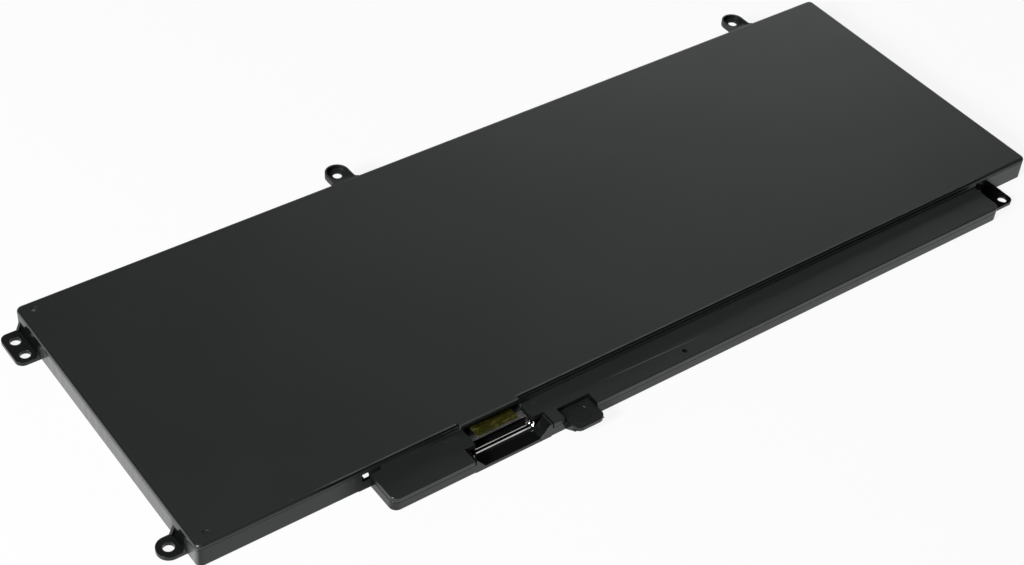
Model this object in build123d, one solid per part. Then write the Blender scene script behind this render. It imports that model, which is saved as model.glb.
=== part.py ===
from build123d import *
import os

# Flat laptop battery: a moulded tray and lid around three pouch cells. A low ledge along the front holds the
# protection board, and a shielded socket opens towards the front of the ledge.
# Sizes are in millimetres and are taken from the front left corner of the main body: X right, Y back, Z up.
# The finished pieces are shifted so that the origin is the middle of the main body's underside.

# Main body
pack_width = 264.5
pack_depth = 90.5
pack_height = 6.85
corner_radius = 1.5
top_edge_radius = 0.85
bottom_edge_radius = 0.35
wall = 1.0
floor = 0.8
cover_thickness = 1.1
inner_corner_radius = 0.6

# Front ledge
ledge_left = 45.0
ledge_right_inset = 19.8
ledge_depth = 9.7
ledge_height = 4.3
ledge_cover_thickness = 1.4
ledge_corner_radius = 2.0
ledge_edge_radius = 0.3
ledge_end_sweep = 4.0

# Joint between tray and lid
seam_groove_depth = 0.15
seam_groove_height = 0.12
cover_clearance = 0.05
lip_width = 0.7
lip_depth = 0.9
lip_clearance = 0.15

# Screw lugs at the level of the underside
screw_hole_radius = 1.4
lug_thickness = 1.1
lug_reach = 5.85
lug_hole_from_wall = 2.9
front_lug_from_front = 8.15
front_lug_length = 6.3
front_lug_corner = 3.1
pair_lug_from_back = 7.6
pair_lug_length = 11.4
pair_lug_corner = 2.1
pair_hole_spacing = 5.4
pair_hole_shift = 0.45
gusset_thickness = 0.9
gusset_height = 3.8
gusset_foot = 1.1
right_lug_length = 9.1
right_lug_depth = 7.3
right_lug_corner = 1.8
right_hole_radius = 1.25
right_hole_countersink = 0.6
right_hole_from_ledge = 7.0
right_hole_from_wall = 4.9

# Cup lugs on the back of the lid
back_hole_radius = 1.3
back_lug_first = 95.3
back_lug_spacing = 141.0
back_lug_width = 6.8
back_lug_reach = 7.2
back_lug_height = 1.6
back_lug_drop = 0.25
back_lug_rim = 0.5
back_lug_seat_depth = 1.05
back_lug_channel_depth = 0.45
back_lug_flare = 0.9
back_lug_root = 1.0
back_lug_gap = 0.1

# Pocket in the corner between the main body and the ledge
pocket_window = 2.3
pocket_reach = 1.85
pocket_depth = 4.55
pocket_top = 5.35
pocket_sill = 2.9
pocket_wall = 0.8
pocket_roof = 0.4
pocket_hole_width = 2.05
pocket_hole_length = 3.3

# Socket: formed shell, insulator, contacts and film
socket_x = 79.2
socket_mouth = 4.5
socket_back = 2.6
shell_width = 16.4
shell_height = 1.95
shell_sheet = 0.2
shell_corner = 0.45
shell_top_setback = 1.05
flare_length = 1.09
flare_side = 0.75
flare_drop = 0.55
flare_corner = 0.9
flare_bend_length = 0.25
flare_bend_share = 0.14
flare_lip_length = 0.5
flare_lip_share = 0.72
flare_top_trim = 0.65
insulator_front = 1.0
insulator_clearance = 0.02
insulator_floor = 0.25
blade_side_room = 1.1
blade_thickness = 0.35
blade_end_gap = 1.45
contact_count = 10
contact_pitch = 1.25
contact_width = 0.4
contact_sheet = 0.1
contact_tail = 0.9
film_width = 11.9
film_front_margin = 0.7
film_length = 4.8
film_thickness = 0.07
film_corner = 0.3

# Lid openings at the socket and tray funnel in front of it
window_clearance = 0.15
tongue_width = 17.0
tongue_offset = -1.0
tongue_reach = 0.7
tongue_edge_radius = 0.3
cutout_width = 23.0
cutout_back = 5.2
funnel_gap = 0.4
funnel_offset = -0.3
funnel_depth = 3.5
funnel_floor = 1.05
funnel_floor_width = 16.2
funnel_top_width = 21.5

# Thumb tab on the tray and its notch in the lid
tab_left = 94.4
tab_width = 8.9
tab_reach = 4.3
tab_root = 3.1
tab_thickness = 1.1
tab_drop = 0.7
tab_corner = 2.0
tab_gap = 0.5
tab_rib_thickness = 1.0
tab_rib_reach = 3.6
tab_rib_toe = 0.3
tab_mark_radius = 3.0
tab_mark_depth = 0.12
tab_mark_from_left = 3.5
tab_mark_from_front = 0.2

# Small moulding marks
corner_mark_from_left = 3.7
corner_mark_from_edge = 3.1
corner_mark_radius = 0.8
corner_mark_depth = 0.15
ledge_pip_from_left = 133.4
ledge_pip_from_step = 7.2
ledge_pip_radius = 0.7
ledge_pip_depth = 0.7

# Pouch cells
cell_count = 3
cell_gap = 1.6
cell_side_room = 1.7
cell_front = 9.5
cell_back_room = 1.0
cell_corner = 3.0
cell_edge_bevel = 0.9
terrace_length = 4.0
terrace_thickness = 0.3
terrace_side_room = 2.0
fold_thickness = 0.35
fold_height = 2.8
fold_end_room = 2.0
adhesive_thickness = 0.12
adhesive_width = 12.0
adhesive_inset = 10.0
foam_thickness = 0.43
foam_inset = 6.0
foam_corner = 2.0
divider_width = 0.8
divider_height = 2.5
divider_end_room = 4.0
cell_tab_width = 6.0
cell_tab_sheet = 0.1
cell_tab_pitch = 12.0
first_cell_tab = 50.6
other_cell_tab = 34.6
weld_plate_width = 7.0
weld_plate_length = 3.0
weld_plate_sheet = 0.15
weld_plate_inset = 0.4

# Protection board and what is soldered to it
board_thickness = 0.6
board_back = 4.6
board_clearance = 0.5
board_notch_room = 1.0
board_notch_setback = 0.2
board_pin_radius = 0.9
board_pin_clearance = 0.1
board_pin_inset = 8.0
board_pin_height = 0.6
gauge_chip_from_right = 92.5
gauge_chip_size = 5.0
gauge_chip_height = 0.85
transistor_from_right = 64.5
transistor_pitch = 9.0
transistor_length = 5.8
transistor_width = 4.9
transistor_height = 0.95
transistor_lead = 0.55
transistor_lead_width = 0.45
transistor_lead_pitch = 1.27
transistor_lead_sheet = 0.25
fuse_from_right = 42.5
fuse_length = 4.0
fuse_width = 3.0
fuse_height = 0.9
sense_resistor_from_right = 33.5
sense_resistor_length = 6.3
sense_resistor_width = 3.2
sense_resistor_height = 0.6
thermistor_from_resistors = 5.0
thermistor_length = 1.6
thermistor_width = 0.8
thermistor_height = 0.6
parts_row_y = -4.4
capacitor_from_right = 82.5
capacitor_count = 6
capacitor_pitch = 2.0
capacitor_length = 1.0
capacitor_width = 0.5
capacitor_height = 0.5
resistor_from_right = 106.5
resistor_count = 5
resistor_pitch = 2.0
resistor_length = 1.0
resistor_width = 0.5
resistor_height = 0.35

# Heights and places that follow from the sizes above
ledge_right = pack_width - ledge_right_inset
ledge_run_in = 2 * ledge_corner_radius
seam_main = pack_height - cover_thickness
seam_ledge = ledge_height - ledge_cover_thickness
board_top = floor + board_thickness
board_front = wall + board_clearance - ledge_depth
board_left = ledge_left + pocket_reach + pocket_wall + board_clearance
board_right = ledge_right - wall - board_clearance
cutout_left = socket_x - cutout_width / 2
cutout_right = socket_x + cutout_width / 2
shell_top = board_top + shell_height
blade_top = board_top + shell_height / 2 + blade_thickness / 2
tab_right = tab_left + tab_width
tab_top = ledge_height - tab_drop
tab_front = -ledge_depth - tab_reach
cell_span = pack_width - 2 * wall - 2 * cell_side_room
cell_width = (cell_span - (cell_count - 1) * cell_gap) / cell_count
cell_back = pack_depth - wall - cell_back_room
cell_bottom = floor + adhesive_thickness
cell_top = seam_main - foam_thickness
weld_top = board_top + weld_plate_sheet
terrace_front = cell_front - terrace_length
past = 1.0


def block(x0, x1, y0, y1, z0, z1):
    corner = (Align.MIN, Align.MIN, Align.MIN)
    return Pos(x0, y0, z0) * Box(x1 - x0, y1 - y0, z1 - z0, align=corner)


def slab(x0, x1, y0, y1, z0, z1, radius):
    outline = Pos((x0 + x1) / 2, (y0 + y1) / 2, z0) * RectangleRounded(x1 - x0, y1 - y0, radius)
    return extrude(outline, z1 - z0)


def post(x, y, z0, z1, radius):
    return Pos(x, y, z0) * Cylinder(radius, z1 - z0, align=(Align.CENTER, Align.CENTER, Align.MIN))


# A flat outline of (x, z) points, as thick as the stretch from y0 to y1
def across(points, y0, y1):
    return extrude(Pos(0, y1, 0) * (Plane.XZ * Polygon(*points, align=None)), y1 - y0)


# A flat outline of (y, z) points, as thick as the stretch from x0 to x1
def along(points, x0, x1):
    return extrude(Pos(x0, 0, 0) * (Plane.YZ * Polygon(*points, align=None)), x1 - x0)


# A rounded rectangle that stands upright and faces the front
def upright(x, y, z, width, height, radius):
    face = Plane(origin=(x, y, z), x_dir=(1, 0, 0), z_dir=(0, -1, 0))
    return face * RectangleRounded(width, height, radius)


def main_body():
    body = slab(0, pack_width, 0, pack_depth, 0, pack_height, corner_radius)
    body = fillet(body.faces().sort_by(Axis.Z)[-1].edges(), top_edge_radius)
    return fillet(body.faces().sort_by(Axis.Z)[0].edges(), bottom_edge_radius)


def ledge_body():
    ledge = slab(ledge_left, ledge_right, -ledge_depth, ledge_run_in, 0, ledge_height, ledge_corner_radius)
    ledge = fillet(ledge.faces().sort_by(Axis.Z)[-1].edges(), ledge_edge_radius)
    return fillet(ledge.faces().sort_by(Axis.Z)[0].edges(), bottom_edge_radius)


def case_shell():
    main_room = slab(
        wall, pack_width - wall, wall, pack_depth - wall, floor, seam_main, inner_corner_radius
    )
    ledge_room = block(
        ledge_left + wall, ledge_right - wall, wall - ledge_depth, 2 * wall, floor, seam_ledge
    )
    return main_body() + ledge_body() - main_room - ledge_room


# The room that the lid takes: the top plate, the step wall and the plate over the ledge
def lid_zone(clearance):
    top = block(-past, pack_width + past, -past, pack_depth + past, seam_main, pack_height + past)
    front = block(
        ledge_left + clearance, ledge_right - clearance,
        -ledge_depth - past, wall, seam_ledge, seam_main + past,
    )
    return top + front


# A fine groove round the outside of the tray, just under the lid
def seam_groove():
    g = seam_groove_depth
    low_main = seam_main - seam_groove_height
    low_ledge = seam_ledge - seam_groove_height
    main = block(-past, pack_width + past, -past, pack_depth + past, low_main, seam_main)
    main -= slab(g, pack_width - g, g, pack_depth - g, low_main, seam_main, corner_radius - g)
    ledge = block(ledge_left - past, ledge_right + past, -ledge_depth - past, 0, low_ledge, seam_ledge)
    ledge -= slab(
        ledge_left + g, ledge_right - g, g - ledge_depth, ledge_run_in,
        low_ledge, seam_ledge, ledge_corner_radius - g,
    )
    return main + ledge


def lug_gusset(y0):
    corners = ((0, lug_thickness), (0, gusset_height), (-gusset_foot, lug_thickness))
    return across(corners, y0, y0 + gusset_thickness)


def left_lug(y_mid, length, corner, hole_offsets):
    y0 = y_mid - length / 2
    y1 = y_mid + length / 2
    lug = slab(-lug_reach, lug_reach, y0, y1, 0, lug_thickness, corner)
    lug = lug & block(-lug_reach, wall / 2, y0, y1, 0, lug_thickness)
    lug += lug_gusset(y0) + lug_gusset(y1 - gusset_thickness)
    for offset in hole_offsets:
        lug -= post(-lug_hole_from_wall, y_mid + offset, -past, lug_thickness + past, screw_hole_radius)
    return lug


def right_lug():
    x1 = ledge_right + right_lug_length
    lug = slab(
        ledge_right - right_lug_length, x1, -right_lug_depth, right_lug_depth,
        0, lug_thickness, right_lug_corner,
    )
    lug = lug & block(ledge_right - wall, x1, -right_lug_depth, wall, 0, lug_thickness)
    hole_x = ledge_right + right_hole_from_ledge
    lug -= post(hole_x, -right_hole_from_wall, -past, lug_thickness + past, right_hole_radius)
    sink = Cone(
        right_hole_radius, right_hole_radius + right_hole_countersink, right_hole_countersink,
        align=(Align.CENTER, Align.CENTER, Align.MAX),
    )
    return lug - Pos(hole_x, -right_hole_from_wall, lug_thickness) * sink


# The ledge's right end sweeps into the main body's front wall
def ledge_end():
    sweep_x = ledge_right + ledge_end_sweep
    fill = block(ledge_right - cover_clearance, sweep_x, -ledge_end_sweep, wall / 2, 0, ledge_height)
    return fill - post(sweep_x, -ledge_end_sweep, -past, ledge_height + past, ledge_end_sweep)


def funnel_block():
    return block(
        cutout_left + funnel_gap, cutout_right - funnel_gap,
        -ledge_depth, funnel_depth - ledge_depth, 0, ledge_height,
    )


def funnel_opening():
    low = funnel_floor_width / 2
    slope = (funnel_top_width - funnel_floor_width) / 2 / (ledge_height - funnel_floor)
    high = funnel_top_width / 2 + slope * past
    middle = socket_x + funnel_offset
    corners = (
        (middle - low, funnel_floor), (middle + low, funnel_floor),
        (middle + high, ledge_height + past), (middle - high, ledge_height + past),
    )
    return across(corners, -ledge_depth - past, funnel_depth - ledge_depth + past / 10)


def thumb_tab():
    back = tab_root - ledge_depth
    tab = slab(
        tab_left, tab_right, tab_front, back + tab_corner, tab_top - tab_thickness, tab_top, tab_corner
    )
    tab = tab & block(tab_left, tab_right, tab_front, back, tab_top - tab_thickness, tab_top)
    mark_x = tab_left + tab_mark_from_left
    mark_y = -ledge_depth - tab_mark_from_front
    tab -= post(mark_x, mark_y, tab_top - tab_mark_depth, tab_top + past, tab_mark_radius)
    corners = (
        (-ledge_depth, tab_rib_toe), (-ledge_depth, tab_top - tab_thickness),
        (-ledge_depth - tab_rib_reach, tab_top - tab_thickness),
    )
    tab += along(corners, tab_left, tab_left + tab_rib_thickness)
    return tab + along(corners, tab_right - tab_rib_thickness, tab_right)


def pocket_box(clearance):
    return block(
        ledge_left - pocket_window - pocket_wall - clearance,
        ledge_left + pocket_reach + pocket_wall + clearance,
        -clearance, pocket_depth + pocket_wall + clearance,
        0, pocket_top + pocket_roof + clearance,
    )


def pocket_hollow():
    left = ledge_left - pocket_window
    right = ledge_left + pocket_reach
    hollow = block(left, right, pocket_wall, pocket_depth, floor, pocket_top)
    hollow += block(
        right - pocket_hole_width, right, pocket_depth - pocket_hole_length, pocket_depth,
        -past, 2 * floor,
    )
    return hollow + block(left, ledge_left, -past, pocket_wall + past / 10, pocket_sill, pocket_top)


def cell_left(number):
    return wall + cell_side_room + number * (cell_width + cell_gap)


def cell_dividers():
    dividers = []
    for number in range(1, cell_count):
        middle = cell_left(number) - cell_gap / 2
        dividers.append(block(
            middle - divider_width / 2, middle + divider_width / 2,
            cell_front + divider_end_room, cell_back - divider_end_room, 0, floor + divider_height,
        ))
    return dividers


def board_pin_places():
    y = parts_row_y
    return ((board_left + board_pin_inset, y), (board_right - board_pin_inset, y))


def lower_case():
    tray = case_shell() - lid_zone(0) - seam_groove()
    tray += left_lug(front_lug_from_front, front_lug_length, front_lug_corner, (0,))
    pair_middle = pack_depth - pair_lug_from_back
    half = pair_hole_spacing / 2
    holes = (-half - pair_hole_shift, half - pair_hole_shift)
    tray += left_lug(pair_middle, pair_lug_length, pair_lug_corner, holes)
    tray += right_lug() + ledge_end()
    tray = tray + funnel_block() - funnel_opening()
    tray += thumb_tab()
    tray = tray + pocket_box(0) - pocket_hollow()
    for divider in cell_dividers():
        tray += divider
    for x, y in board_pin_places():
        tray += post(x, y, 0, board_top + board_pin_height, board_pin_radius)
    return tray


def lid_tongue():
    middle = socket_x + tongue_offset
    tongue = block(
        middle - tongue_width / 2, middle + tongue_width / 2,
        -tongue_reach, wall, seam_main, pack_height,
    )
    front_edge = tongue.faces().sort_by(Axis.Y)[0].edges().sort_by(Axis.Z)[-1]
    return fillet(front_edge, tongue_edge_radius)


# A rim under the lid that drops just inside the tray's walls
def lid_lip():
    outer = wall + lip_clearance
    inner = outer + lip_width
    low = seam_main - lip_depth
    lip = slab(outer, pack_width - outer, outer, pack_depth - outer, low, seam_main, inner_corner_radius)
    lip -= block(inner, pack_width - inner, inner, pack_depth - inner, low, seam_main)
    return lip - block(ledge_left, ledge_right, 0, inner + past, low, seam_main)


def ledge_lip():
    front = wall + lip_clearance - ledge_depth
    return block(
        tab_right + tab_root, ledge_right - wall - ledge_corner_radius,
        front, front + lip_width, seam_ledge - lip_depth / 2, seam_ledge,
    )


def window_opening():
    half = shell_width / 2 + window_clearance
    return block(
        socket_x - half, socket_x + half, -cutout_back - past, wall + lip_width + past,
        seam_ledge - past, seam_main,
    )


def plug_cutout():
    return block(
        cutout_left, cutout_right, -ledge_depth - past, -cutout_back,
        seam_ledge - past, ledge_height + past,
    )


def tab_notch():
    return block(
        tab_left - tab_gap, tab_right + tab_gap, -ledge_depth - past, tab_root + tab_gap - ledge_depth,
        seam_ledge - past, ledge_height + past,
    )


def back_lug(x):
    half = back_lug_width / 2
    top = pack_height - back_lug_drop
    low = top - back_lug_height
    y = pack_depth + back_lug_reach - half
    seat = top - back_lug_seat_depth
    lug = post(x, y, low, top, half)
    lug += block(x - half, x + half, pack_depth - back_lug_root, y, seam_main, top)
    lug += block(x - half, x + half, pack_depth + back_lug_gap, y, low, seam_main)
    inner = half - back_lug_rim
    lug -= post(x, y, seat, top + past, inner)
    lug -= block(x - inner, x + inner, pack_depth, y, top - back_lug_channel_depth, top + past)
    lug -= post(x, y, low - past, top + past, back_hole_radius)
    corner_y = pack_depth + back_lug_flare
    for side in (-1, 1):
        edge = x + side * half
        corner_x = edge + side * back_lug_flare
        fill = block(
            min(edge, corner_x), max(edge, corner_x), pack_depth - back_lug_root, corner_y, seam_main, top
        )
        lug += fill - post(corner_x, corner_y, seam_main, top, back_lug_flare)
    return lug


def corner_marks():
    low = pack_height - corner_mark_depth
    high = pack_height + past
    back_y = pack_depth - corner_mark_from_edge
    front = post(corner_mark_from_left, corner_mark_from_edge, low, high, corner_mark_radius)
    return front + post(corner_mark_from_left, back_y, low, high, corner_mark_radius)


def ledge_pip():
    return post(
        ledge_pip_from_left, -ledge_pip_from_step, ledge_height - ledge_pip_depth,
        ledge_height + past, ledge_pip_radius,
    )


def upper_cover():
    lid = case_shell() & lid_zone(cover_clearance)
    lid += lid_tongue() + lid_lip() + ledge_lip()
    lid = lid - window_opening() - plug_cutout() - tab_notch()
    lid = lid - pocket_box(cover_clearance) - corner_marks() - ledge_pip()
    for number in range(2):
        lid += back_lug(back_lug_first + number * back_lug_spacing)
    return lid


def shell_section(y, inset):
    return upright(
        socket_x, y, board_top + shell_height / 2,
        shell_width - 2 * inset, shell_height - 2 * inset, shell_corner - inset / 2,
    )


# The mouth bends outwards, slopes and then flattens to a lip
def flare_section(reach, share, inset):
    height = shell_height + flare_drop * share
    return upright(
        socket_x, -socket_mouth - reach, shell_top - height / 2,
        shell_width + 2 * flare_side * share - 2 * inset, height - 2 * inset,
        shell_corner + (flare_corner - shell_corner) * share - inset / 2,
    )


def flare(inset):
    return loft([
        flare_section(0, 0, inset),
        flare_section(flare_bend_length, flare_bend_share, inset),
        flare_section(flare_length - flare_lip_length, flare_lip_share, inset),
        flare_section(flare_length, 1, inset),
    ], ruled=True)


def connector_shell():
    sleeve = extrude(shell_section(socket_back, 0), socket_back + socket_mouth)
    sleeve -= extrude(shell_section(socket_back, shell_sheet), socket_back + socket_mouth)
    mouth = flare(0) - flare(shell_sheet)
    trim = block(
        socket_x - shell_width, socket_x + shell_width,
        -socket_mouth - flare_length - past, shell_top_setback - socket_mouth,
        shell_top - flare_top_trim, shell_top + past,
    )
    return sleeve + mouth - trim


# One contact: a blade strip, a drop behind the insulator and a tail on the board
def contact(x):
    x0 = x - contact_width / 2
    x1 = x + contact_width / 2
    tip = blade_end_gap - socket_mouth
    high = blade_top + contact_sheet
    strip = block(x0, x1, tip, socket_back + contact_sheet, blade_top, high)
    strip += block(x0, x1, socket_back, socket_back + contact_sheet, board_top, high)
    tail_end = socket_back + contact_tail
    return strip + block(x0, x1, socket_back, tail_end, board_top, board_top + contact_sheet)


def contacts():
    first = socket_x - (contact_count - 1) * contact_pitch / 2
    return [contact(first + number * contact_pitch) for number in range(contact_count)]


def connector_insulator():
    inset = shell_sheet + insulator_clearance
    body = extrude(shell_section(socket_back, inset), socket_back + insulator_front)
    half = shell_width / 2 - blade_side_room
    body += block(
        socket_x - half, socket_x + half, blade_end_gap - socket_mouth, -insulator_front,
        blade_top - blade_thickness, blade_top,
    )
    floor_bottom = board_top + inset
    body += block(
        socket_x - half, socket_x + half, insulator_clearance - socket_mouth, -insulator_front,
        floor_bottom, floor_bottom + insulator_floor,
    )
    for strip in contacts():
        body -= strip
    return body


def connector_film():
    front = film_front_margin + shell_top_setback - socket_mouth
    return slab(
        socket_x - film_width / 2, socket_x + film_width / 2, front, front + film_length,
        shell_top, shell_top + film_thickness, film_corner,
    )


def pouch_cell(number):
    x0 = cell_left(number)
    x1 = x0 + cell_width
    body_left = x0 + fold_thickness
    body_right = x1 - fold_thickness
    body = slab(body_left, body_right, cell_front, cell_back, cell_bottom, cell_top, cell_corner)
    body = chamfer(body.faces().sort_by(Axis.Z)[-1].edges(), cell_edge_bevel)
    body = chamfer(body.faces().sort_by(Axis.Z)[0].edges(), cell_edge_bevel)
    low = weld_top - (terrace_thickness - cell_tab_sheet) / 2
    body += block(
        x0 + terrace_side_room, x1 - terrace_side_room, terrace_front, cell_front + cell_corner,
        low, low + terrace_thickness,
    )
    fold_front = cell_front + cell_corner + fold_end_room
    fold_back = cell_back - cell_corner - fold_end_room
    fold_low = (cell_bottom + cell_top - fold_height) / 2
    body += block(x0, body_left + past, fold_front, fold_back, fold_low, fold_low + fold_height)
    return body + block(body_right - past, x1, fold_front, fold_back, fold_low, fold_low + fold_height)


# The first cell's tabs stay between the corner pocket and the socket, and the others' left of the board's end
def cell_tab_x(number, place):
    start = cell_left(number) + cell_width - other_cell_tab
    if number == 0:
        start = cell_left(number) + first_cell_tab
    return start + place * cell_tab_pitch


def cell_tab(number, place):
    x = cell_tab_x(number, place)
    back_of_plate = board_back - weld_plate_inset
    return block(
        x - cell_tab_width / 2, x + cell_tab_width / 2, back_of_plate - weld_plate_length, terrace_front,
        weld_top, weld_top + cell_tab_sheet,
    )


def weld_plates():
    plates = []
    back = board_back - weld_plate_inset
    for number in range(cell_count):
        for place in range(2):
            x = cell_tab_x(number, place)
            plates.append(block(
                x - weld_plate_width / 2, x + weld_plate_width / 2, back - weld_plate_length, back,
                board_top, weld_top,
            ))
    return plates


def adhesive_strips(number):
    left = cell_left(number) + adhesive_inset
    right = cell_left(number) + cell_width - adhesive_inset
    y0 = cell_front + adhesive_inset
    y1 = cell_back - adhesive_inset
    return [
        block(left, left + adhesive_width, y0, y1, floor, cell_bottom),
        block(right - adhesive_width, right, y0, y1, floor, cell_bottom),
    ]


def foam_pad(number):
    x0 = cell_left(number) + foam_inset
    x1 = cell_left(number) + cell_width - foam_inset
    return slab(x0, x1, cell_front + foam_inset, cell_back - foam_inset, cell_top, seam_main, foam_corner)


def protection_board():
    board = block(board_left, board_right, board_front, board_back, floor, board_top)
    board -= block(
        cutout_left - board_notch_room, cutout_right + board_notch_room,
        board_front - past, board_notch_setback - socket_mouth, floor - past, board_top + past,
    )
    for x, y in board_pin_places():
        hole = board_pin_radius + board_pin_clearance
        board -= post(x, y, floor - past, board_top + past, hole)
    return board


# A part on the board, placed by the distance of its middle from the board's right end
def on_board(from_right, length, width, height):
    x = board_right - from_right
    y = parts_row_y
    return block(x - length / 2, x + length / 2, y - width / 2, y + width / 2, board_top, board_top + height)


def transistor(from_right):
    package = on_board(from_right, transistor_width, transistor_length, transistor_height)
    reach = transistor_length / 2 + transistor_lead
    for number in range(4):
        lead_x = board_right - from_right + (number - 1.5) * transistor_lead_pitch
        package += block(
            lead_x - transistor_lead_width / 2, lead_x + transistor_lead_width / 2,
            parts_row_y - reach, parts_row_y + reach, board_top, board_top + transistor_lead_sheet,
        )
    return package


def row_of_parts(from_right, count, pitch, length, width, height):
    return [on_board(from_right - n * pitch, length, width, height) for n in range(count)]


def save(name, shapes):
    shift = Pos(-pack_width / 2, -pack_depth / 2, 0)
    solids = [solid for shape in shapes for solid in (shift * shape).solids()]
    export_step(solids[0] if len(solids) == 1 else Compound(children=solids), f"parts/{name}.step")


os.makedirs("parts", exist_ok=True)
save("lower_case", [lower_case()])
save("upper_cover", [upper_cover()])
save("connector_shell", [connector_shell()])
save("connector_insulator", [connector_insulator()])
save("connector_contacts", contacts())
save("connector_film", [connector_film()])
for index in range(cell_count):
    cell_name = f"cell_{index + 1}"
    save(f"pouch_{cell_name}", [pouch_cell(index)])
    save(f"{cell_name}_positive_tab", [cell_tab(index, 0)])
    save(f"{cell_name}_negative_tab", [cell_tab(index, 1)])
    save(f"{cell_name}_adhesive_strips", adhesive_strips(index))
    save(f"{cell_name}_foam_pad", [foam_pad(index)])
save("protection_board", [protection_board()])
save("weld_plates", weld_plates())
save("gauge_chip", [on_board(gauge_chip_from_right, gauge_chip_size, gauge_chip_size, gauge_chip_height)])
save("charge_transistor", [transistor(transistor_from_right)])
save("discharge_transistor", [transistor(transistor_from_right - transistor_pitch)])
save("protector_fuse", [on_board(fuse_from_right, fuse_length, fuse_width, fuse_height)])
save("sense_resistor", [
    on_board(sense_resistor_from_right, sense_resistor_length, sense_resistor_width, sense_resistor_height)
])
thermistor_from_right = resistor_from_right + thermistor_from_resistors
save("thermistor", [on_board(thermistor_from_right, thermistor_length, thermistor_width, thermistor_height)])
save("chip_capacitors", row_of_parts(
    capacitor_from_right, capacitor_count, capacitor_pitch,
    capacitor_length, capacitor_width, capacitor_height,
))
save("chip_resistors", row_of_parts(
    resistor_from_right, resistor_count, resistor_pitch, resistor_length, resistor_width, resistor_height
))
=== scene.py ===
import bpy
from mathutils import Matrix, Vector

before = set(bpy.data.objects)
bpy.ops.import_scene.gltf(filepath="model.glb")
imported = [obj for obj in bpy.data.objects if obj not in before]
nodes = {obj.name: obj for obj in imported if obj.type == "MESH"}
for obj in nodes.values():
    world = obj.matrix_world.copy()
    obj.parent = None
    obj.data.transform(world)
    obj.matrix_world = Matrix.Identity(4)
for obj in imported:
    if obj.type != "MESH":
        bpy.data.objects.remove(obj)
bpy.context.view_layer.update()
print("frame loaded:", len(nodes), "nodes")

# main body in metres; the origin is the middle of its underside
packBody = {"width": 0.2645, "depth": 0.0905}


def fromCorner(x, y, z):  # millimetres from the main body's front left corner
    return Vector((x / 1000 - packBody["width"] / 2, y / 1000 - packBody["depth"] / 2, z / 1000))


# node helpers

def addNode(tree, kind, inputs=None, **settings):
    node = tree.nodes.new(kind)
    for key, value in settings.items():
        setattr(node, key, value)
    for key, value in (inputs or {}).items():
        if isinstance(value, bpy.types.NodeSocket):
            tree.links.new(value, node.inputs[key])
        else:
            node.inputs[key].default_value = value
    return node


def maths(tree, operation, first, second=0.0, clamp=False):
    node = addNode(tree, "ShaderNodeMath", {0: first, 1: second}, operation=operation, use_clamp=clamp)
    return node.outputs[0]


def remap(tree, value, low, high, toLow, toHigh):
    inputs = {"Value": value, "From Min": low, "From Max": high, "To Min": toLow, "To Max": toHigh}
    return addNode(tree, "ShaderNodeMapRange", inputs).outputs["Result"]


def noise(tree, vector, scale, detail=2.0, rough=0.5):
    inputs = {"Vector": vector, "Scale": scale, "Detail": detail, "Roughness": rough}
    return addNode(tree, "ShaderNodeTexNoise", inputs).outputs["Fac"]


def stretched(tree, vector, scale):
    return addNode(tree, "ShaderNodeMapping", {"Vector": vector, "Scale": scale}).outputs["Vector"]


def mixColour(tree, factor, first, second):
    node = addNode(tree, "ShaderNodeMix", data_type="RGBA")
    for key, value in (("Factor", factor), (6, first), (7, second)):
        if isinstance(value, bpy.types.NodeSocket):
            tree.links.new(value, node.inputs[key])
        else:
            node.inputs[key].default_value = value
    return node.outputs[2]


def rgb(red, green, blue):
    return (red, green, blue, 1.0)


def newMaterial(name, **settings):
    material = bpy.data.materials.new(name)
    material.use_nodes = True
    tree = material.node_tree
    tree.nodes.clear()
    output = addNode(tree, "ShaderNodeOutputMaterial")
    shader = addNode(tree, "ShaderNodeBsdfPrincipled", settings.get("inputs"))
    tree.links.new(shader.outputs["BSDF"], output.inputs["Surface"])
    place = addNode(tree, "ShaderNodeTexCoord").outputs["Object"]
    return material, tree, shader, place


def dress(material, *names):
    for name in names:
        nodes[name].data.materials.clear()
        nodes[name].data.materials.append(material)


def feed(tree, socket, shader, name):
    tree.links.new(socket, shader.inputs[name])


# black moulded case: the lid is spark grained, but smooth along the step, and its step wall and a few walls
# take a darker tone as painted shade;
# the tray is smooth, with draw streaks on its walls, and grained on the thumb tab, the funnel's rim and the
# lugs
caseLooks = {
    "lid": {
        "grain": (rgb(0.0142, 0.0157, 0.0149), rgb(0.017, 0.0187, 0.0176)),
        "smooth": rgb(0.004, 0.0043, 0.004),
        # pale colour for real scuffs and for the painted highlight and painted light
        "wearAndPaintedLight": rgb(0.085, 0.088, 0.085),
        "grainRough": 0.43,
        "smoothRough": 0.14,
        "grainDepth": 0.00004,
        "streakDepth": 1.2,
        "streakRough": 0.3,
        "edgeRadius": 0.00014,
        "shine": 0.5,
    },
    "tray": {
        "grain": (rgb(0.0085, 0.0094, 0.009), rgb(0.0105, 0.0115, 0.011)),
        "smooth": rgb(0.0034, 0.0037, 0.0035),
        # pale colour for the painted light on the left end and the paler streaks on the ledge's front
        "wearAndPaintedLight": rgb(0.09, 0.092, 0.09),
        "grainRough": 0.32,
        "smoothRough": 0.18,
        "grainDepth": 0.000015,
        "streakDepth": 1.2,
        "streakRough": 0.3,
        "edgeRadius": 0.00014,
        "shine": 0.4,
    },
}


# 0 at start and top at stop, held level beyond them
def ramp(tree, value, start, stop, top=1.0):
    return remap(tree, value, start, stop, 0.0, top)


def times(tree, first, *others):
    for other in others:
        first = maths(tree, "MULTIPLY", first, other)
    return first


def largest(tree, first, *others):
    for other in others:
        first = maths(tree, "MAXIMUM", first, other)
    return first


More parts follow.
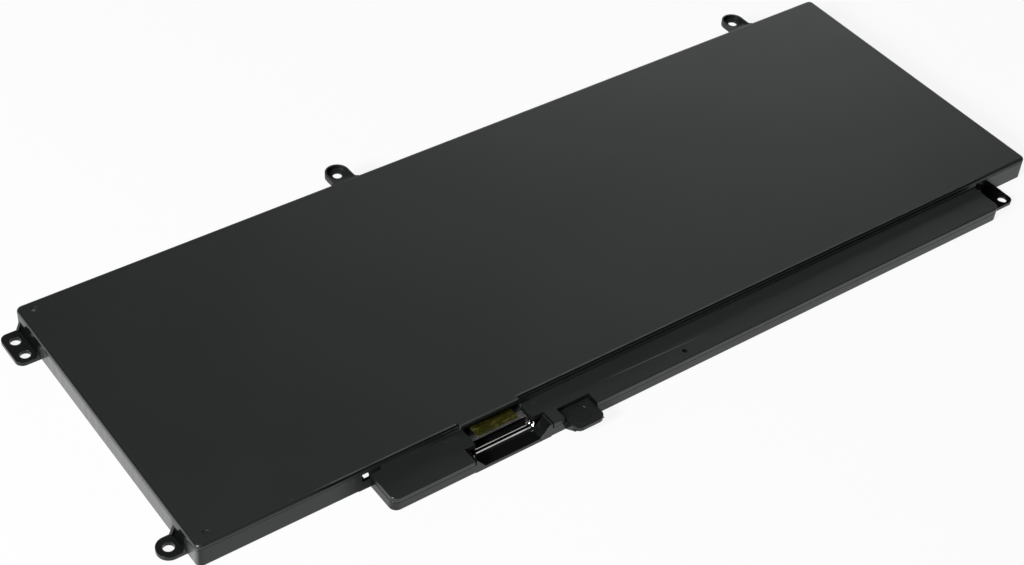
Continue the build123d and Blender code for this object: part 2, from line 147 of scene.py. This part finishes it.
def without(tree, mask):
    return maths(tree, "SUBTRACT", 1.0, mask)


# metres in the scene, from millimetres behind the main body's front and right of its left end
def fromFront(*lengths):
    return [fromCorner(0, y, 0).y for y in lengths]


def fromLeft(*lengths):
    return [fromCorner(x, 0, 0).x for x in lengths]


def metres(*lengths):
    return [z / 1000 for z in lengths]


# 1 where the value lies between low and high, fading over soft
def between(tree, value, low, high, soft):
    return times(tree, ramp(tree, value, low - soft, low + soft), ramp(tree, value, high + soft, high - soft))


# a soft oval patch, in millimetres from the main body's front left corner
def oval(tree, axes, x, y, halfX, halfY, slope):
    middle = fromCorner(x, y, 0)
    fromMiddle = maths(tree, "SUBTRACT", axes["X"], middle.x)
    level = maths(tree, "ADD", times(tree, fromMiddle, slope), middle.y)
    across = times(tree, fromMiddle, 1000 / halfX)
    along = times(tree, maths(tree, "SUBTRACT", axes["Y"], level), 1000 / halfY)
    square = maths(tree, "ADD", times(tree, across, across), times(tree, along, along))
    return ramp(tree, square, 1.2, 0.5)


def mouldedCase(name, look, smoothPart, wearAndPaintedLightPart, roughPart, coved=None):
    settings = {"IOR": 1.5, "Specular Tint": rgb(0.9, 1.0, 0.95), "Specular IOR Level": look["shine"]}
    material, tree, shader, place = newMaterial(name, inputs=settings)
    axes = addNode(tree, "ShaderNodeSeparateXYZ", {0: place}).outputs
    normal = addNode(tree, "ShaderNodeNewGeometry").outputs["Normal"]
    facing = addNode(tree, "ShaderNodeSeparateXYZ", {0: normal}).outputs
    drift = ramp(tree, noise(tree, place, 16.0, 3.0), 0.35, 0.65)
    upright = ramp(tree, maths(tree, "ABSOLUTE", facing["Z"]), 0.8, 0.3)
    streaks = noise(tree, stretched(tree, place, (520.0, 520.0, 18.0)), 1.0, 4.0, 0.6)
    smooth = smoothPart(tree, axes, facing)
    wearAndPaintedLight = wearAndPaintedLightPart(tree, axes, facing, place, streaks)
    # smooth parts take the darker smooth tone; on the lid's step wall and shaded walls it is painted shade
    tone = mixColour(tree, smooth, mixColour(tree, drift, *look["grain"]), look["smooth"])
    # the pale colour lays scuffs, painted highlights and painted light over the tone
    feed(tree, mixColour(tree, wearAndPaintedLight, tone, look["wearAndPaintedLight"]), shader, "Base Color")
    fine = remap(tree, noise(tree, place, 90.0, 3.0), 0.3, 0.7, -0.012, 0.012)
    grainRough = maths(tree, "ADD", fine, look["grainRough"])
    mixedRough = addNode(tree, "ShaderNodeMix", {"Factor": smooth, "A": grainRough, "B": look["smoothRough"]})
    swing = times(tree, upright, look["streakRough"])
    streaked = times(tree, maths(tree, "SUBTRACT", streaks, 0.5), swing)
    streaked = maths(tree, "ADD", streaked, roughPart(tree, axes, facing))
    feed(tree, maths(tree, "ADD", mixedRough.outputs[0], streaked), shader, "Roughness")
    drawn = times(tree, streaks, upright, look["streakDepth"])
    height = maths(tree, "ADD", noise(tree, place, 2600.0, 2.0), drawn)
    edge = addNode(tree, "ShaderNodeBevel", {"Radius": look["edgeRadius"]}, samples=6).outputs["Normal"]
    if coved:
        edge = coved(tree, axes, edge)
    bump = addNode(tree, "ShaderNodeBump", {
        "Strength": 0.25, "Distance": look["grainDepth"], "Height": height, "Normal": edge,
    })
    feed(tree, bump.outputs["Normal"], shader, "Normal")
    return material


# how far a face is turned, from slanting to square, to count as a wall or as a top
wallTurn = (-0.6, -0.9)
topTurn = (0.7, 0.95)

# the main front wall is rougher beside the ledge's left end
cornerRough = {"along": (38.0, 60.0), "soft": 5.0, "ahead": (-3.0, -2.0), "share": 0.6}


def roughAtCorner(tree, axes, facing):
    near = between(tree, axes["X"], *fromLeft(*cornerRough["along"]), cornerRough["soft"] / 1000)
    front = ramp(tree, facing["Y"], *wallTurn, cornerRough["share"])
    return times(tree, near, front, ramp(tree, axes["Y"], *fromFront(*cornerRough["ahead"])))


# lid: levels in millimetres, and shifts of roughness on the ledge and on the shaded walls
lidLook = {
    "ledgeLevel": (4.4, 4.7),
    "ledgeRougher": -0.07,
    "wallRougher": 0.3,
    "stepAlong": (31.5, 246.0),
    "stepSoft": 3.0,
    "stepAhead": (1.2, 1.0),
    "stepLevel": (4.5, 4.7),
    "smoothUp": (4.7, 6.2),
    "smoothUpShare": 0.8,
    "smoothRight": (120.0, 200.0),
    "smoothRightShare": 0.9,
    "leftEdgeShare": 0.6,
    "leftPaintedLightShare": 0.6,
}


# 1 on the walls of the cup lugs behind the lid, and on those that face left in front of the step: shade is
# painted there with the darker smooth tone
def shadedWalls(tree, axes, facing):
    back = packBody["depth"] / 2
    cups = times(tree, ramp(tree, axes["Y"], back, back + 0.0006), ramp(tree, facing["Z"], 0.9, 0.6))
    ends = times(tree, ramp(tree, axes["Y"], *fromFront(0, -0.2)), ramp(tree, facing["X"], *wallTurn))
    return largest(tree, cups, ends)


def lidRough(tree, axes, facing):
    ledge = remap(tree, axes["Z"], *metres(*lidLook["ledgeLevel"]), lidLook["ledgeRougher"], 0.0)
    walls = times(tree, shadedWalls(tree, axes, facing), lidLook["wallRougher"])
    return maths(tree, "ADD", maths(tree, "ADD", ledge, walls), roughAtCorner(tree, axes, facing))


# 1 along the step's wall and upper edge, from a little left of the ledge to its right end
def stepEdge(tree, axes):
    ahead = ramp(tree, axes["Y"], *fromFront(*lidLook["stepAhead"]))
    high = ramp(tree, axes["Z"], *metres(*lidLook["stepLevel"]))
    along = between(tree, axes["X"], *fromLeft(*lidLook["stepAlong"]), lidLook["stepSoft"] / 1000)
    return times(tree, ahead, high, along)


# the step's rounded edge, the top of its wall and the left end's rounded edge are smooth; with the shaded
# walls they take the darker smooth tone, which on the step's wall and the shaded walls is painted shade
def lidSmoothAndShaded(tree, axes, facing):
    tilt = maths(tree, "ABSOLUTE", facing["Z"])
    right = ramp(tree, axes["X"], *fromLeft(*lidLook["smoothRight"]), lidLook["smoothRightShare"])
    up = ramp(tree, axes["Z"], *metres(*lidLook["smoothUp"]), lidLook["smoothUpShare"])
    rounded = largest(tree, right, up, ramp(tree, tilt, 0.05, 0.2))
    step = times(tree, rounded, ramp(tree, tilt, 0.997, 0.985), stepEdge(tree, axes))
    leftEdge = ramp(tree, facing["X"], -0.3, -0.5, lidLook["leftEdgeShare"])
    leftEdge = times(tree, leftEdge, ramp(tree, tilt, 0.3, 0.5))
    return largest(tree, shadedWalls(tree, axes, facing), step, leftEdge)


# the step runs softly into the ledge: its foot is shaded as a cove
stepFoot = {"ledgeLeft": 45.4, "ledgeTop": 4.3, "up": 1.9, "out": 0.5, "lean": (0.0, -0.7, 0.714)}


def coveAtStep(tree, axes, normal):
    corner = fromCorner(stepFoot["ledgeLeft"], 0, stepFoot["ledgeTop"])
    outward = maths(tree, "SUBTRACT", corner.y, axes["Y"])
    up = times(tree, maths(tree, "SUBTRACT", axes["Z"], corner.z), 1000 / stepFoot["up"])
    away = largest(tree, times(tree, outward, 1000 / stepFoot["out"]), up)
    ahead = ramp(tree, outward, -0.0002, -0.0001)
    onLedge = ramp(tree, axes["X"], corner.x, corner.x + 0.0004)
    share = times(tree, ramp(tree, away, 1.0, 0.0), ahead, onLedge)
    mixed = addNode(tree, "ShaderNodeMix", data_type="VECTOR")
    tree.links.new(share, mixed.inputs["Factor"])
    tree.links.new(normal, mixed.inputs[4])
    mixed.inputs[5].default_value = stepFoot["lean"]
    return addNode(tree, "ShaderNodeVectorMath", {0: mixed.outputs[1]}, operation="NORMALIZE").outputs[0]


# scuffs on the lid: place, half size and slope in millimetres from the corner, and strength
lidScuffs = (
    (3.4, 87.1, 0.6, 0.6, 0.0, 1.0),
    (24.6, 1.2, 0.35, 0.3, 0.0, 0.25),
    (90.3, -1.6, 0.9, 0.2, -0.2, 0.25),
    (130.8, 89.0, 1.2, 0.25, 0.0, 0.25),
    (125.3, -4.84, 16.0, 0.14, -0.0226, 0.85),
    (68.0, -1.2, 0.4, 0.2, 0.0, 0.2),
    (65.6, -1.1, 0.4, 0.25, 0.0, 0.2),
    (66.4, -2.6, 0.3, 0.2, 0.0, 0.15),
)
# a highlight is painted along the step's edge: over the socket's tongue it stands further forward
paintedEdgeHighlight = {"line": (0.5, 0.8), "tongueLine": (-0.5, -0.2), "tongue": (69.2, 86.2), "soft": 0.12}


# painted highlight on the step's upper edge, patchy along its length
def paintedStepHighlight(tree, axes, place):
    soft = paintedEdgeHighlight["soft"] / 1000
    line, tongueLine = [
        between(tree, axes["Y"], *fromFront(*paintedEdgeHighlight[part]), soft) for part in ("line", "tongueLine")
    ]
    tongue = between(tree, axes["X"], *fromLeft(*paintedEdgeHighlight["tongue"]), soft)
    mixed = addNode(tree, "ShaderNodeMix", {"Factor": tongue, "A": line, "B": tongueLine}).outputs[0]
    patchy = remap(tree, noise(tree, place, 260.0, 3.0), 0.3, 0.6, 0.45, 0.8)
    return times(tree, mixed, patchy, stepEdge(tree, axes))


# real scuffs, the painted highlight on the step's edge, and painted light on the left end wall
def lidScuffsAndPaintedLight(tree, axes, facing, place, streaks):
    # the left end wall is painted pale: painted light standing in for the lit floor it reflects
    leftEnd = ramp(tree, axes["X"], *fromLeft(0.3, 0.1), lidLook["leftPaintedLightShare"])
    leftEnd = times(tree, leftEnd, ramp(tree, facing["X"], -0.96, -0.995))
    wearAndPaintedLight = largest(tree, paintedStepHighlight(tree, axes, place), leftEnd)
    for *patch, strength in lidScuffs:
        wearAndPaintedLight = largest(tree, wearAndPaintedLight, times(tree, oval(tree, axes, *patch), strength))
    return wearAndPaintedLight


# tray: lengths in millimetres; its left end wall is painted pale, painted light standing in for the lit floor
# it reflects, but not behind the lugs there, where it would mirror the dark lug plates
trayLook = {
    "rimLevel": (3.3, 3.5),
    "rimAhead": (-4.0, -5.0),
    "thinLugLevel": (1.0, 0.8),
    "thinLugAhead": (-0.2, -0.6),
    "leftLugs": (-0.2, -0.6),
    "leftWall": (0.75, 0.25),
    "lugStretches": ((4.6, 11.7), (76.9, 88.9)),
    "lugSoft": 0.4,
    "parting": (4.9, 5.4),
    "partingSoft": 0.1,
    "partingShare": 0.7,
    "paleUntil": (70.0, 77.0),
    "ledgeFront": (-8.5, -9.2),
    "ledgeFrontShare": 0.18,
}


# grained where it faces up: the tab and the funnel's rim, the left lugs and the thin lug at the right
def traySmooth(tree, axes, facing):
    high = ramp(tree, axes["Z"], *metres(*trayLook["rimLevel"]))
    rim = times(tree, high, ramp(tree, axes["Y"], *fromFront(*trayLook["rimAhead"])))
    low = ramp(tree, axes["Z"], *metres(*trayLook["thinLugLevel"]))
    thin = times(tree, low, ramp(tree, axes["Y"], *fromFront(*trayLook["thinLugAhead"])))
    left = ramp(tree, axes["X"], *fromLeft(*trayLook["leftLugs"]))
    plates = largest(tree, left, rim, thin)
    return without(tree, times(tree, plates, ramp(tree, facing["Z"], *topTurn)))


def trayPaleAndPaintedLight(tree, axes, facing, place, streaks):
    # painted light on the left end wall, in streaks
    leftEnd = ramp(tree, facing["X"], *wallTurn)
    leftEnd = times(tree, leftEnd, ramp(tree, axes["X"], *fromLeft(*trayLook["leftWall"])))
    for stretch in trayLook["lugStretches"]:
        lug = between(tree, axes["Y"], *fromFront(*stretch), trayLook["lugSoft"] / 1000)
        leftEnd = times(tree, leftEnd, without(tree, lug))
    # the painted light is weaker along the parting line, which leaves a dark line there
    parting = between(tree, axes["Z"], *metres(*trayLook["parting"]), trayLook["partingSoft"] / 1000)
    seam = without(tree, times(tree, parting, trayLook["partingShare"]))
    # the painted light falls to half from 70 to 77 mm back, and stays there
    beside = remap(tree, axes["Y"], *fromFront(*trayLook["paleUntil"]), 1.0, 0.5)
    leftEnd = times(tree, leftEnd, remap(tree, streaks, 0.3, 0.7, 0.4, 1.0), seam, beside)
    # the ledge's front wall is made paler in streaks
    front = ramp(tree, facing["Y"], *wallTurn)
    front = times(tree, front, ramp(tree, axes["Y"], *fromFront(*trayLook["ledgeFront"])))
    frontStreaks = noise(tree, stretched(tree, place, (60.0, 60.0, 900.0)), 1.0, 4.0, 0.6)
    front = times(tree, front, ramp(tree, frontStreaks, 0.35, 0.75, trayLook["ledgeFrontShare"]))
    return largest(tree, leftEnd, front)


trayPlastic = mouldedCase("trayBlackPlastic", caseLooks["tray"], traySmooth, trayPaleAndPaintedLight, roughAtCorner)
lidPlastic = mouldedCase("lidBlackPlastic", caseLooks["lid"], lidSmoothAndShaded, lidScuffsAndPaintedLight, lidRough, coveAtStep)
dress(trayPlastic, "lower_case")
dress(lidPlastic, "upper_cover")
print("case dressed")

# bright plated socket shell: its flare in front of the mouth is painted dark, with bright bands painted on
# the bend and the lip, as painted reflections
shellLook = {
    "light": rgb(0.93, 0.92, 0.9),
    "dull": rgb(0.76, 0.75, 0.72),
    "dark": rgb(0.02, 0.02, 0.02),
    "rough": 0.22,
    "mouth": -4.4,
    "bend": (-4.66, -4.5),
    "lip": (-5.5, -5.2),
}


def platedShell(name, look):
    material, tree, shader, place = newMaterial(name, inputs={"Metallic": 1.0})
    rub = noise(tree, stretched(tree, place, (300.0, 2500.0, 2500.0)), 1.0, 3.0)
    cloud = noise(tree, place, 250.0, 2.0)
    tone = mixColour(tree, ramp(tree, cloud, 0.35, 0.7), look["light"], look["dull"])
    rough = remap(tree, rub, 0.3, 0.7, look["rough"] - 0.04, look["rough"] + 0.06)
    bump = addNode(tree, "ShaderNodeBump", {"Strength": 0.05, "Distance": 0.00002, "Height": rub})
    along = addNode(tree, "ShaderNodeSeparateXYZ", {0: place}).outputs["Y"]
    # painted highlights on the bend and the lip, painted dark reflection on the flare between
    bend, lip = [between(tree, along, *fromFront(*look[part]), 0.00006) for part in ("bend", "lip")]
    bright = largest(tree, bend, lip, ramp(tree, along, *fromFront(look["mouth"], look["mouth"] + 0.1)))
    feed(tree, mixColour(tree, bright, look["dark"], tone), shader, "Base Color")
    feed(tree, rough, shader, "Roughness")
    feed(tree, bump.outputs["Normal"], shader, "Normal")
    return material


dress(platedShell("platedShell", shellLook), "connector_shell")

# yellow-brown pick-up film with slight puckers, painted brighter on their crests as a painted sheen
filmLook = {"deep": rgb(0.026, 0.0245, 0.0035), "bright": rgb(0.11, 0.1, 0.022), "rough": 0.3}


def puckeredFilm(name, look):
    material, tree, shader, place = newMaterial(name, inputs={"Coat Weight": 0.4, "Coat Roughness": 0.12})
    pucker = noise(tree, stretched(tree, place, (420.0, 900.0, 900.0)), 1.0, 3.0, 0.6)
    # painted sheen on the pucker crests
    tone = mixColour(tree, ramp(tree, pucker, 0.5, 0.75), look["deep"], look["bright"])
    rough = remap(tree, pucker, 0.3, 0.7, look["rough"] - 0.1, look["rough"] + 0.1)
    bump = addNode(tree, "ShaderNodeBump", {"Strength": 0.5, "Distance": 0.0001, "Height": pucker})
    feed(tree, tone, shader, "Base Color")
    feed(tree, rough, shader, "Roughness")
    feed(tree, bump.outputs["Normal"], shader, "Normal")
    return material


dress(puckeredFilm("pickUpFilm", filmLook), "connector_film")
print("socket dressed")


# one recipe for the inner pieces: two tones, a grain and a roughness
def grainy(name, first, second, scale, rough, depth=0.00003, metallic=0.0, shine=0.5):
    settings = {"Metallic": metallic, "Specular IOR Level": shine}
    material, tree, shader, place = newMaterial(name, inputs=settings)
    grain = noise(tree, place, scale, 3.0)
    feed(tree, mixColour(tree, ramp(tree, grain, 0.3, 0.7), first, second), shader, "Base Color")
    feed(tree, remap(tree, grain, 0.3, 0.7, rough - 0.08, rough + 0.08), shader, "Roughness")
    bump = addNode(tree, "ShaderNodeBump", {"Strength": 0.2, "Distance": depth, "Height": grain})
    feed(tree, bump.outputs["Normal"], shader, "Normal")
    return material


cellNumbers = (1, 2, 3)
dress(
    grainy("insulatorPlastic", rgb(0.003, 0.003, 0.003), rgb(0.005, 0.005, 0.005), 2500, 0.5, shine=0.1),
    "connector_insulator",
)
dress(
    grainy("contactGold", rgb(0.85, 0.6, 0.22), rgb(0.7, 0.48, 0.17), 1800, 0.25, metallic=1.0),
    "connector_contacts",
)
dress(
    grainy("pouchFoil", rgb(0.55, 0.56, 0.57), rgb(0.68, 0.69, 0.7), 900, 0.38, 0.00006, 0.9),
    *[f"pouch_cell_{n}" for n in cellNumbers],
)
dress(
    grainy("tabAluminium", rgb(0.72, 0.72, 0.72), rgb(0.8, 0.8, 0.8), 1500, 0.32, metallic=1.0),
    *[f"cell_{n}_positive_tab" for n in cellNumbers],
)
dress(
    grainy("tabNickel", rgb(0.6, 0.58, 0.53), rgb(0.7, 0.68, 0.63), 1500, 0.3, metallic=1.0),
    "weld_plates", *[f"cell_{n}_negative_tab" for n in cellNumbers],
)
dress(
    grainy("adhesiveTape", rgb(0.75, 0.74, 0.7), rgb(0.84, 0.83, 0.79), 1200, 0.7),
    *[f"cell_{n}_adhesive_strips" for n in cellNumbers],
)
dress(
    grainy("foamPad", rgb(0.03, 0.03, 0.03), rgb(0.07, 0.07, 0.07), 1800, 0.9, 0.0002),
    *[f"cell_{n}_foam_pad" for n in cellNumbers],
)
dress(grainy("boardResist", rgb(0.003, 0.016, 0.007), rgb(0.005, 0.024, 0.01), 500, 0.3), "protection_board")
dress(
    grainy("chipMoulding", rgb(0.012, 0.012, 0.012), rgb(0.022, 0.022, 0.023), 2600, 0.55),
    "gauge_chip", "charge_transistor", "discharge_transistor", "chip_resistors",
)
dress(
    grainy("chipCeramic", rgb(0.3, 0.24, 0.17), rgb(0.4, 0.33, 0.25), 2200, 0.5),
    "protector_fuse", "sense_resistor", "thermistor", "chip_capacitors",
)
print("inner pieces dressed")

# pale floor: nearly white to the camera, with the shadow kept, and paler in reflections than it is lit
floorLook = {
    "size": 8.0,
    "drop": 0.0001,
    "white": rgb(0.92, 0.92, 0.92),
    "cameraShare": 0.9,
    "mirrorShare": 0.7,
}


def paleFloor(look):
    half = look["size"] / 2
    mesh = bpy.data.meshes.new("paleFloor")
    corners = ((-half, -half), (half, -half), (half, half), (-half, half))
    mesh.from_pydata([(x, y, -look["drop"]) for x, y in corners], [], [(0, 1, 2, 3)])
    floor = bpy.data.objects.new("paleFloor", mesh)
    bpy.context.scene.collection.objects.link(floor)
    material = bpy.data.materials.new("paleFloor")
    material.use_nodes = True
    tree = material.node_tree
    tree.nodes.clear()
    rays = addNode(tree, "ShaderNodeLightPath").outputs
    seen = largest(tree, rays["Is Camera Ray"], rays["Is Transmission Ray"])
    mirrored = times(tree, rays["Is Glossy Ray"], look["mirrorShare"])
    share = largest(tree, times(tree, seen, look["cameraShare"]), mirrored)
    lit = addNode(tree, "ShaderNodeBsdfDiffuse", {"Color": look["white"]})
    plain = addNode(tree, "ShaderNodeEmission", {"Color": rgb(1, 1, 1), "Strength": 1.0})
    mixed = addNode(tree, "ShaderNodeMixShader", {0: share, 1: lit.outputs[0], 2: plain.outputs[0]})
    addNode(tree, "ShaderNodeOutputMaterial", {"Surface": mixed.outputs[0]})
    mesh.materials.append(material)


paleFloor(floorLook)

# soft studio light: a grey room, a key from the left, a small lamp overhead and a panel behind on the right
roomLook = {"grey": 0.03, "white": 1.0}
lamps = {
    "leftKey": {"place": (-1.16, -0.24, 0.6), "size": (0.4, 0.4), "power": 26.0},
    "overheadRight": {"place": (0.95, 0.3, 1.72), "size": (1.0, 1.0), "power": 1.8},
    "backRightPanel": {"place": (1.03, 1.07, 0.44), "size": (1.1, 0.45), "power": 4.0},
}


def greyRoom(look):
    world = bpy.data.worlds.new("greyRoom")
    bpy.context.scene.world = world
    world.use_nodes = True
    tree = world.node_tree
    tree.nodes.clear()
    rays = addNode(tree, "ShaderNodeLightPath").outputs
    strength = remap(tree, rays["Is Camera Ray"], 0.0, 1.0, look["grey"], look["white"])
    background = addNode(tree, "ShaderNodeBackground", {"Color": rgb(1, 1, 1), "Strength": strength})
    addNode(tree, "ShaderNodeOutputWorld", {"Surface": background.outputs[0]})


def hangLamp(name, look):
    data = bpy.data.lights.new(name, "AREA")
    data.shape = "ELLIPSE"
    data.size, data.size_y = look["size"]
    data.energy = look["power"]
    lamp = bpy.data.objects.new(name, data)
    lamp.location = look["place"]  # faces the origin
    lamp.rotation_euler = (-lamp.location).to_track_quat("-Z", "Y").to_euler()
    bpy.context.scene.collection.objects.link(lamp)


greyRoom(roomLook)
for lampName, lampLook in lamps.items():
    hangLamp(lampName, lampLook)
print("floor and lamps set")

# camera at the photograph's angle
cameraLook = {
    "place": (-0.25811, -0.29555, 0.34024),
    "look": (0.47330, 0.57133, -0.67050),
    "right": (0.80723, -0.58596, 0.07090),
    "lens": 68.74,
    "sensor": 36.0,
}


def setCamera(view):
    data = bpy.data.cameras.new("photoView")
    data.lens = view["lens"]
    data.sensor_width = view["sensor"]
    data.clip_start = 0.01
    camera = bpy.data.objects.new("photoView", data)
    bpy.context.scene.collection.objects.link(camera)
    back = -Vector(view["look"]).normalized()
    up = back.cross(Vector(view["right"])).normalized()
    right = up.cross(back)
    turn = Matrix((right, up, back)).transposed().to_4x4()
    camera.matrix_world = Matrix.Translation(view["place"]) @ turn
    bpy.context.scene.camera = camera


setCamera(cameraLook)
bpy.context.scene.view_settings.view_transform = "Standard"
print("camera set")
